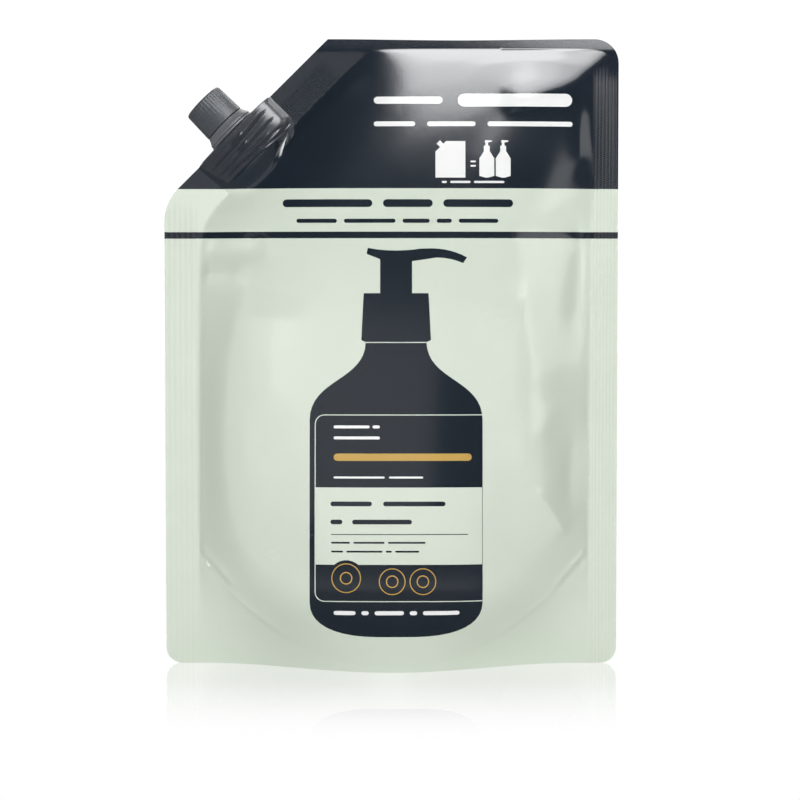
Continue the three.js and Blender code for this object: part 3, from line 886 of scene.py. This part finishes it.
def plate_ring(w, inset):
    """The outline of the plate that closes the weld base between the two films' cut edges."""
    run = np.linspace(-20, 20.6, 60)
    x, z = off_cut(SPOUT_FROM_TOP - run, 0.3)
    front, back = (np.maximum(film_depth(x, z, folds) - inset, 0.05) for folds in (FRONT_FOLDS, BACK_FOLDS))
    ring = [(v, -depth, w) for v, depth in zip(run, front)]
    return ring + [(v, depth, w) for v, depth in zip(run[::-1], back[::-1])]


def spout_moulding(material):
    # The weld base is a little slimmer than the film over it, which is drawn in between its ribs.
    length, thickness, depth = WELD_LENGTH - 2, WELD_THICKNESS - 2, WELD_DEPTH - 0.9
    bore, neck, neck_top = 5.0, 6.2, 15.5
    profile = [(bore, -depth + 0.1), (neck, -depth + 0.1), (neck, 0.3), (10.8, 0.3), (11, 0.5), (11, 1.1)]
    profile += [(10.8, 1.3), (neck, 1.3), (neck, 3.2), (7.8, 3.2), (7.8, 3.5), (neck + 0.4, 4.0), (neck, 4.2)]
    profile += [(neck, neck_top - 0.2), (neck - 0.2, neck_top), (bore + 0.6, neck_top), (bore, neck_top - 0.6)]
    parts = [turned(profile, 128)]
    parts.append(loft([boat_ring(length - 2, thickness - 1, w) for w in (-depth, 0.5)], closed_ends=True))
    parts.append(loft([plate_ring(-0.5, 0.4), plate_ring(0.05, 0.25), plate_ring(0.2, 0.5)], closed_ends=True))
    for low in np.linspace(-depth, -1.5, WELD_RIBS):
        parts.append(loft([boat_ring(length, thickness, w) for w in (low, low + 1.5)], closed_ends=True))
    parts += threads(neck - 0.2, 7.15, 6.4, 1.1)
    return spout_piece("pour_spout", parts, material)


# ---- materials
SURFACE = "Principled BSDF"


class Nodes:
    """The node tree of a material or a world, with short calls for what is used here."""

    def __init__(self, owner):
        owner.use_nodes = True
        self.owner = owner
        self.tree = owner.node_tree

    def put(self, value, socket):
        if isinstance(value, bpy.types.NodeSocket):
            self.tree.links.new(value, socket)
        else:
            socket.default_value = value

    def add(self, kind, inputs=None, **settings):
        node = self.tree.nodes.new(kind)
        for key, value in settings.items():
            setattr(node, key, value)
        for key, value in (inputs or {}).items():
            self.put(value, node.inputs[key])
        return node

    def set(self, name, **values):
        """Fills in a node that the tree starts with."""
        for key, value in values.items():
            self.put(value, self.tree.nodes[name].inputs[key.replace("_", " ")])

    def math(self, operation, *values):
        return self.add("ShaderNodeMath", dict(enumerate(values)), operation=operation).outputs[0]

    def product(self, *values):
        return reduce(lambda a, b: self.math("MULTIPLY", a, b), values)

    def total(self, *values):
        return reduce(lambda a, b: self.math("ADD", a, b), values)

    def ramp(self, value, low, high, to_low=0.0, to_high=1.0):
        inputs = {"Value": value, "From Min": low, "From Max": high, "To Min": to_low, "To Max": to_high}
        return self.add("ShaderNodeMapRange", inputs, interpolation_type="SMOOTHSTEP").outputs["Result"]

    def noise(self, vector, scale, detail=3.0, roughness=0.5):
        inputs = {"Vector": vector, "Scale": scale, "Detail": detail, "Roughness": roughness}
        return self.add("ShaderNodeTexNoise", inputs).outputs["Fac"]

    def mix(self, share, first, second, kind="RGBA"):
        inputs = {"Factor": share, "A": first, "B": second}
        return self.add("ShaderNodeMix", inputs, data_type=kind).outputs["Result"]

    def mottled(self, colour, share, darkest, lightest):
        """The colour, from a darker to a lighter shade of itself."""
        return self.mix(share, *([c * shade for c in colour[:3]] + [1] for shade in (darkest, lightest)))

    def mix_shaders(self, share, first, second):
        return self.add("ShaderNodeMixShader", {"Fac": share, 1: first.outputs[0], 2: second.outputs[0]})

    def object_mm(self):
        """Object coordinates in millimetres."""
        place = self.add("ShaderNodeTexCoord").outputs["Object"]
        return self.add("ShaderNodeVectorMath", {0: place, 1: [1 / MM] * 3}, operation="MULTIPLY").outputs[0]

    def split(self, vector):
        return self.add("ShaderNodeSeparateXYZ", {0: vector}).outputs


def linear(red, green, blue):
    """A colour given as it looks on a screen, 0 to 255."""
    out = []
    for value in (red, green, blue):
        c = value / 255
        out.append(c / 12.92 if c <= 0.04045 else ((c + 0.055) / 1.055) ** 2.4)
    return (*out, 1)


# Heights of what the welding bars press into the film, in millimetres, and how much of that pattern is painted
# into the colour as painted glints on raised cells and painted shade in pressed ones.
RIGHT_EMBOSS = 0.07
LEFT_EMBOSS = 0.06
CUT_EMBOSS = 0.02
GUSSET_GRAIN = 0.05
EMBOSS_PAINTED_GLINT_AND_SHADE = 0.45


def film_emboss(n, vector):
    """Height of the pattern that the welding bars press into the seals, in millimetres."""
    x, _, z = n.split(vector)

    def wave(value, pitch):
        return n.math("COSINE", n.product(value, 2 * math.pi / pitch))

    # right seal: upright columns of short slanted dashes
    slanted = n.total(z, n.product(x, 0.35))
    dashes = n.product(wave(x, 1.45), n.total(n.product(wave(slanted, 0.95), 0.45), 0.55))
    beside, within = n.ramp(x, INNER_RIGHT + 1.0, INNER_RIGHT + 2.2), n.ramp(x, RIGHT - 0.2, RIGHT - 0.9)
    in_right = n.product(beside, within, n.ramp(z, TOP - 10, TOP - 19))
    # left seal: upright stripes with a fine slanted hatch
    hatch = wave(n.total(z, n.product(x, 0.6)), 0.95)
    weave = n.total(n.product(wave(x, 2.3), 0.65), n.product(hatch, 0.35))
    beside, below = n.ramp(x, INNER_LEFT - 0.3, INNER_LEFT - 1.1), TOP - CORNER_CUT
    in_left = n.product(beside, n.ramp(z, below + 4, below - 6), n.ramp(z, 60, 130, 0.35, 1.0))
    # cut seal: rows of dots along the cut
    rising = n.product(n.total(x, z), 1 / math.sqrt(2))
    inward = n.product(n.total(n.math("SUBTRACT", x, z), TOP - CUT_X), 1 / math.sqrt(2))
    along = n.product(n.total(x, z, -CUT_X - TOP), -1 / math.sqrt(2))
    dots = n.total(n.product(wave(rising, 1.05), wave(inward, 1.3)), n.product(wave(rising, 1.05), 0.4))
    beside, within = n.ramp(inward, 4.6, 6.0), n.ramp(inward, CUT_SEAL - 0.3, CUT_SEAL - 1.2)
    above_spout = n.ramp(along, SPOUT_FROM_TOP - 21, SPOUT_FROM_TOP - 22)
    in_cut = n.product(beside, within, above_spout, n.ramp(along, 3, 12))
    # the gusset's weld: a fine grain
    sides = n.math("POWER", n.product(n.math("ABSOLUTE", x), -1 / INNER_LEFT), 2.6)
    weld_line = n.total(n.product(sides, GUSSET_HEIGHT - 4), 3)
    in_gusset = n.ramp(n.math("SUBTRACT", weld_line, z), 0, 1.5)
    grain = n.noise(vector, 1.3, 2, 0.6)
    return n.total(
        n.product(dashes, in_right, RIGHT_EMBOSS),
        n.product(weave, in_left, LEFT_EMBOSS),
        n.product(dots, in_cut, CUT_EMBOSS),
        n.product(grain, in_gusset, GUSSET_GRAIN),
    )


def film_material(name, colour, roughness=0.155, emboss_and_painted_glint=1.0, coat=1.0):
    """Glossy laminate film: a clear coat over the print, a fine ripple, and the seals' pattern, which is also
    painted into the colour as painted glints and painted shade.
    """
    n = Nodes(bpy.data.materials.new(name))
    vector = n.object_mm()
    tone = n.mottled(colour, n.noise(vector, 0.03, 2), 0.97, 1.03)
    pattern = film_emboss(n, vector)
    # Painted glint and shade: the seals' pressed pattern lightens and darkens the base colour.
    painted_glint_and_shade = n.product(pattern, emboss_and_painted_glint * EMBOSS_PAINTED_GLINT_AND_SHADE)
    tone_with_painted_glint = n.add("ShaderNodeVectorMath", {0: tone, 1: painted_glint_and_shade}, operation="ADD").outputs[0]
    grain, ripple = n.noise(vector, 6.0, 2), n.noise(vector, 0.35, 3, 0.6)
    height = n.total(n.product(grain, 0.004), n.product(ripple, 0.012), n.product(pattern, emboss_and_painted_glint))
    bump = n.add("ShaderNodeBump", {"Height": height, "Distance": MM, "Strength": 1.0}).outputs[0]
    rough = n.ramp(n.noise(vector, 0.04, 2), 0.0, 1.0, roughness - 0.03, roughness + 0.03)
    n.set(SURFACE, Base_Color=tone_with_painted_glint, Roughness=rough, Normal=bump, IOR=1.58)
    n.set(SURFACE, Coat_Weight=coat, Coat_Roughness=0.09, Coat_IOR=1.5, Coat_Normal=bump)
    return n.owner


def moulded_material(name, colour, roughness):
    """Moulded polyolefin: slightly mottled, with a soft sheen."""
    n = Nodes(bpy.data.materials.new(name))
    vector = n.object_mm()
    tone = n.mottled(colour, n.ramp(n.noise(vector, 0.5, 2), 0.3, 0.7), 0.96, 1.03)
    grain = n.noise(vector, 7.0, 2, 0.5)
    bump = n.add("ShaderNodeBump", {"Height": grain, "Distance": 0.006 * MM, "Strength": 1.0}).outputs[0]
    rough = n.ramp(n.noise(vector, 1.0, 2), 0.3, 0.7, roughness - 0.03, roughness + 0.04)
    n.set(SURFACE, Base_Color=tone, Roughness=rough, Normal=bump)
    return n.owner


# ---- stage
WHITE_LIGHT = (1, 1, 1, 1)


def camera():
    """A long lens, looking at the pouch from straight in front and a little above."""
    distance, elevation = 1000, math.radians(3)
    aim = Vector((3.7, 0, 111.2))
    data = bpy.data.cameras.new("camera")
    data.lens, data.sensor_width = 107, 36
    data.clip_end = 50
    view = in_scene("camera", data)
    place = aim + Vector((0, -distance * math.cos(elevation), distance * math.sin(elevation)))
    view.location = place * MM
    view.rotation_euler = (aim - place).to_track_quat("-Z", "Y").to_euler()
    bpy.context.scene.camera = view


WORLD_FRONT = 0.07  # how bright the surroundings are in front of the pouch, and behind it
WORLD_BACK = 1.0
FLOOR_BOUNCE = 0.85  # how white the table top is for the light on the pouch, and in the pouch's gloss
FLOOR_MIRRORED = 0.3
MIRROR_SHARE = 0.75  # how much of the table top's white its mirror takes at the most
MIRROR_REACH = 187  # how far in front of the pouch the mirror fades out


def floor_material():
    """A white table top that mirrors the pouch faintly in front of it, and fades into the backdrop.

    The mirror is strongest at a grazing angle. The light that the table top sends on to the pouch is less
    than what it shows, and least in the pouch's gloss.
    """
    n = Nodes(bpy.data.materials.new("table_top"))
    x, y, _ = n.split(n.object_mm())
    squares = []
    for place, half in ((x, RIGHT), (y, HALF_DEPTH)):
        past = n.math("MAXIMUM", n.math("SUBTRACT", n.math("ABSOLUTE", place), half), 0)
        squares.append(n.math("POWER", past, 2))
    away = n.math("SQRT", n.total(*squares))
    nearness = n.math("POWER", n.ramp(away, MIRROR_REACH, 0), 2.6)
    grazing = n.math("POWER", n.add("ShaderNodeLayerWeight", {"Blend": 0.5}).outputs["Facing"], 2)
    glow = n.add("ShaderNodeEmission", {"Strength": 1.0})
    gloss = n.add("ShaderNodeBsdfGlossy", {"Color": WHITE_LIGHT, "Roughness": 0.0})
    seen = n.mix_shaders(n.product(nearness, grazing, MIRROR_SHARE), glow, gloss)
    rays = n.add("ShaderNodeLightPath").outputs
    bounced = n.mix(rays["Is Glossy Ray"], FLOOR_BOUNCE, FLOOR_MIRRORED, "FLOAT")
    lit = n.add("ShaderNodeBsdfDiffuse", {"Color": bounced})
    n.set("Material Output", Surface=n.mix_shaders(rays["Is Camera Ray"], lit, seen).outputs[0])
    return n.owner


def studio_world():
    """White to the camera and in the table top's mirror; for light and the pouch's own gloss, a white backdrop
    behind the pouch and dim in front of it.
    """
    world = bpy.data.worlds.new("studio")
    bpy.context.scene.world = world
    n = Nodes(world)
    n.set("Background", Color=WHITE_LIGHT, Strength=1.05)
    toward = n.split(n.add("ShaderNodeTexCoord").outputs["Generated"])["Y"]
    fade = n.ramp(toward, 0.1, 0.6, WORLD_FRONT, WORLD_BACK)
    lit = n.add("ShaderNodeBackground", {"Color": WHITE_LIGHT, "Strength": fade})
    rays = n.add("ShaderNodeLightPath").outputs
    direct = n.math("MAXIMUM", rays["Is Camera Ray"], rays["Is Singular Ray"])
    both = n.mix_shaders(direct, lit, n.tree.nodes["Background"])
    n.set("World Output", Surface=both.outputs[0])


# Each softbox: azimuth from straight in front (to the right is positive), elevation, width and height as
# seen from the pouch, all in degrees, how bright its face is, and whether it lights only surfaces' own colour
# ("diffuse") or only their gloss ("glossy"), or both ("").
SOFTBOXES = {
    "front": (0, 5, 36, 18, 12.4, "diffuse"),
    "horizon": (-18, 7, 44, 14, 0.36, "glossy"),
    "low": (33, 26.5, 50, 5, 2.8, "glossy"),
    "key_low": (31, 31.5, 56, 5, 5.1, "glossy"),
    "key": (31, 37, 60, 6, 6.6, "glossy"),
    "key_high": (31, 51, 60, 22, 8.8, "glossy"),
    "right": (62, 22, 60, 36, 1.0, "glossy"),
    "above": (180, 80, 40, 40, 0.5, ""),
    "behind": (170, 40, 50, 30, 2.5, ""),
}
SOFTBOX_DISTANCE = 1.5  # in metres


def softbox(name, azimuth, elevation, width, height, brightness, only):
    """A soft light on a sphere round the pouch's middle, facing it."""
    middle = Vector((0, 0, TOP / 2 * MM))
    around, up = math.radians(azimuth), math.radians(elevation)
    toward = Vector((math.sin(around) * math.cos(up), -math.cos(around) * math.cos(up), math.sin(up)))
    data = bpy.data.lights.new(name, "AREA")
    data.shape = "RECTANGLE"
    data.size = 2 * SOFTBOX_DISTANCE * math.tan(math.radians(width / 2))
    data.size_y = 2 * SOFTBOX_DISTANCE * math.tan(math.radians(height / 2))
    data.energy = brightness * math.pi * data.size * data.size_y
    light = in_scene(name, data)
    light.location = middle + toward * SOFTBOX_DISTANCE
    light.rotation_euler = (-toward).to_track_quat("-Z", "Y").to_euler()
    light.visible_diffuse = only != "glossy"
    light.visible_glossy = only != "diffuse"


def stage():
    reach = 4000
    corners = [(-reach, -reach, 0), (reach, -reach, 0), (reach, reach, 0), (-reach, reach, 0)]
    floor = make_mesh("floor", corners, [(0, 1, 2, 3)], [floor_material()])
    floor.location.z = -0.02 * MM
    studio_world()
    for name, settings in SOFTBOXES.items():
        softbox(name + "_softbox", *settings)
    bpy.context.scene.view_settings.view_transform = "Standard"


# ---- the pouch and its closure
camera()
stage()

ink_materials = [film_material("film_" + ink, linear(*colour)) for ink, colour in INK_COLOURS.items()]
ink_materials.append(film_material("film_weld", linear(*WELD_GREY), 0.32, 0.0, 0.4))

film = film_pouch(ink_materials)
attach(film, "pouch")
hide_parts("pouch")

gusset = gusset_panel(film_material("film_inner", linear(*INK_COLOURS["pale"]), 0.36, 0.0))
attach(gusset, "pouch")
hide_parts("pouch")

spout = spout_moulding(moulded_material("spout_plastic", linear(92, 95, 101), 0.42))
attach(spout, "pouch")
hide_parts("spout")

band = band_piece(moulded_material("band_plastic", linear(98, 101, 106), 0.42))
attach(band, "pouch")
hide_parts("tamper_band")

cap = cap_piece(moulded_material("cap_plastic", linear(69, 73, 78), 0.46))
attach(cap, "cap")
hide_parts("cap")

liner = liner_piece(moulded_material("liner_foam", linear(236, 236, 232), 0.7))
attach(liner, "cap_liner")
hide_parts("cap_liner")
